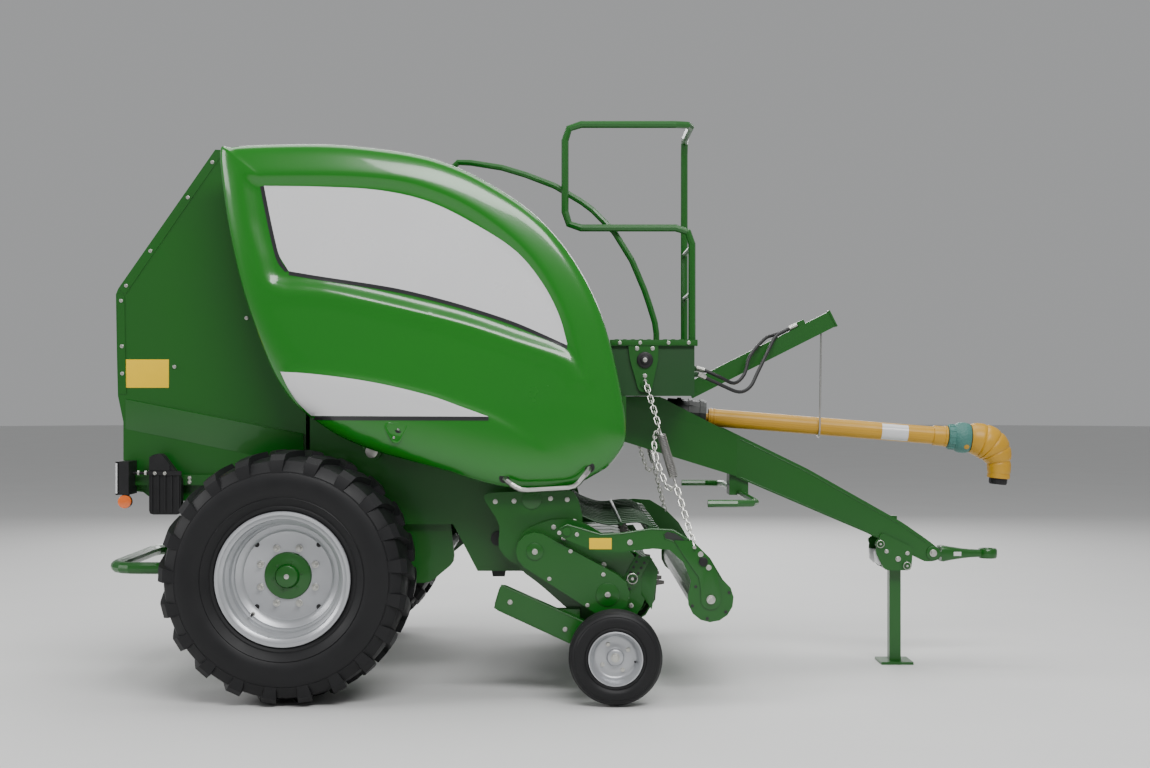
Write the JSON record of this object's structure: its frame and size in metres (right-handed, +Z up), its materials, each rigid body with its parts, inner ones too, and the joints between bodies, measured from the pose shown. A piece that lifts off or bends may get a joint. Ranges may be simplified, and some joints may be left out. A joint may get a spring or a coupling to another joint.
{
  "type": "round baler",
  "caption": "Towed round baler with gull-wing side covers, lifting tailgate, pickup with gauge wheels, drawbar with parking leg and drive shaft.",
  "frame": {"origin": "under the middle of the machine's bounding box, on the ground", "axes": "+X towards the hitch, +Y to the machine's left, +Z up"},
  "size_m": [4.6955, 2.54, 2.784],
  "materials": {
    "machine_green": "semi-gloss paint",
    "cover_green": "gloss paint",
    "dark_sheet": "satin paint",
    "tyre_black": "matte",
    "rim_silver": "satin paint",
    "bare_steel": "brushed",
    "shaft_yellow": "satin",
    "collar_teal": "matte",
    "black_plastic": "matte",
    "hose_rubber": "matte"
  },
  "bodies": {
    "frame": {"axle": "machine_green", "bumper": "machine_green", "chamber_front": "machine_green", "chassis": "machine_green", "drawbar": "machine_green", "gearbox": "dark_sheet", "guard_bar": "machine_green", "guide_rail": "machine_green", "handrail": "machine_green", "hitch_eye": "machine_green", "hose_arm": "machine_green", "hydraulic_hose_1": "hose_rubber", "hydraulic_hose_2": "hose_rubber", "jack_housing": "machine_green", "net_box": "dark_sheet", "pickup_carrier": "machine_green", "platform": "machine_green", "rear_lamp_l": "black_plastic", "rear_lamp_r": "black_plastic", "shaft_hanger": "bare_steel", "wheel_chock_l": "black_plastic", "wheel_chock_r": "black_plastic"},
    "wheel_r": {"wheel_tyre_r": "tyre_black", "wheel_rim_r": "rim_silver", "wheel_hub_r": "machine_green"},
    "wheel_l": {"wheel_tyre_l": "tyre_black", "wheel_rim_l": "rim_silver", "wheel_hub_l": "machine_green"},
    "tailgate": {"tailgate": "machine_green"},
    "ram_barrel_r": {"ram_barrel_r": "machine_green"},
    "ram_barrel_l": {"ram_barrel_l": "machine_green"},
    "ram_rod_r": {"ram_rod_r": "bare_steel"},
    "ram_rod_l": {"ram_rod_l": "bare_steel"},
    "side_cover_r": {"side_cover_r": "cover_green", "cover_handle_r": "bare_steel"},
    "side_cover_l": {"side_cover_l": "cover_green", "cover_handle_l": "bare_steel"},
    "jack_leg": {"jack_leg": "machine_green"},
    "drive_shaft": {"pto_shaft": "shaft_yellow", "pto_collar": "collar_teal", "pto_end_guard": "shaft_yellow"},
    "pickup": {"pickup_frame": "machine_green"},
    "pickup_reel": {"pickup_reel": "bare_steel"},
    "gauge_wheel_r": {"gauge_tyre_r": "tyre_black", "gauge_rim_r": "rim_silver"},
    "gauge_wheel_l": {"gauge_tyre_l": "tyre_black", "gauge_rim_l": "rim_silver"},
    "crop_guard": {"crop_guard": "machine_green"},
    "crop_roller": {"crop_roller": "machine_green"},
    "feed_rotor": {"feed_rotor": "dark_sheet"}
  },
  "joints": [
    {"name": "wheel_spin_r", "type": "hinge", "parent": "frame", "child": "wheel_r", "pos_m": [-1.3285, -1.02, 0.586], "axis": [0, 1, 0], "continuous": true},
    {"name": "wheel_spin_l", "type": "hinge", "parent": "frame", "child": "wheel_l", "pos_m": [-1.3285, 1.02, 0.586], "axis": [0, 1, 0], "continuous": true},
    {"name": "tailgate_lift", "type": "hinge", "parent": "frame", "child": "tailgate", "pos_m": [-1.2335, 0, 2.575], "axis": [0, 1, 0], "range_deg": [0, 65]},
    {"name": "ram_swing_r", "type": "hinge", "parent": "frame", "child": "ram_barrel_r", "pos_m": [-0.9785, -0.725, 1.15], "axis": [0, 1, 0], "range_deg": [0, 3.87]},
    {"name": "ram_stroke_r", "type": "slide", "parent": "ram_barrel_r", "child": "ram_rod_r", "axis": [-0.4771, 0, 0.8789], "range_m": [0, 0.5245]},
    {"name": "ram_swing_l", "type": "hinge", "parent": "frame", "child": "ram_barrel_l", "pos_m": [-0.9785, 0.725, 1.15], "axis": [0, 1, 0], "range_deg": [0, 3.87]},
    {"name": "ram_stroke_l", "type": "slide", "parent": "ram_barrel_l", "child": "ram_rod_l", "axis": [-0.4771, 0, 0.8789], "range_m": [0, 0.5245]},
    {"name": "side_cover_swing_r", "type": "hinge", "parent": "frame", "child": "side_cover_r", "pos_m": [-1.0285, -0.69, 2.6], "axis": [-1, 0, 0], "range_deg": [0, 75]},
    {"name": "side_cover_swing_l", "type": "hinge", "parent": "frame", "child": "side_cover_l", "pos_m": [-1.0285, 0.69, 2.6], "axis": [1, 0, 0], "range_deg": [0, 75]},
    {"name": "jack_slide", "type": "slide", "parent": "frame", "child": "jack_leg", "axis": [0, 0, 1], "range_m": [0, 0.33]},
    {"name": "drive_shaft_lift", "type": "hinge", "parent": "frame", "child": "drive_shaft", "pos_m": [0.61877, 0, 1.31278], "axis": [0, -1, 0], "range_deg": [0, 12]},
    {"name": "pickup_lift", "type": "hinge", "parent": "frame", "child": "pickup", "pos_m": [-0.1815, 0, 0.688], "axis": [0, -1, 0], "range_deg": [0, 12]},
    {"name": "pickup_reel_spin", "type": "hinge", "parent": "pickup", "child": "pickup_reel", "pos_m": [0.2165, 0, 0.5], "axis": [0, 1, 0], "continuous": true},
    {"name": "gauge_wheel_spin_r", "type": "hinge", "parent": "pickup", "child": "gauge_wheel_r", "pos_m": [0.1915, -1.17, 0.223], "axis": [0, 1, 0], "continuous": true},
    {"name": "gauge_wheel_spin_l", "type": "hinge", "parent": "pickup", "child": "gauge_wheel_l", "pos_m": [0.1915, 1.17, 0.223], "axis": [0, 1, 0], "continuous": true},
    {"name": "crop_guard_float", "type": "hinge", "parent": "pickup", "child": "crop_guard", "pos_m": [-0.0315, 0, 0.786], "axis": [0, -1, 0], "range_deg": [0, 10]},
    {"name": "crop_roller_spin", "type": "hinge", "parent": "crop_guard", "child": "crop_roller", "pos_m": [0.6445, 0, 0.468], "axis": [0, 1, 0], "continuous": true},
    {"name": "feed_rotor_spin", "type": "hinge", "parent": "frame", "child": "feed_rotor", "pos_m": [-0.3685, 0, 0.72], "axis": [0, 1, 0], "continuous": true}
  ],
  "couplings": [
    {"joint": "ram_swing_r", "follows": "tailgate_lift", "ratio": 0.05179},
    {"joint": "ram_stroke_r", "follows": "tailgate_lift", "m_per_rad": 0.45795},
    {"joint": "ram_swing_l", "follows": "tailgate_lift", "ratio": 0.05179},
    {"joint": "ram_stroke_l", "follows": "tailgate_lift", "m_per_rad": 0.45795}
  ]
}
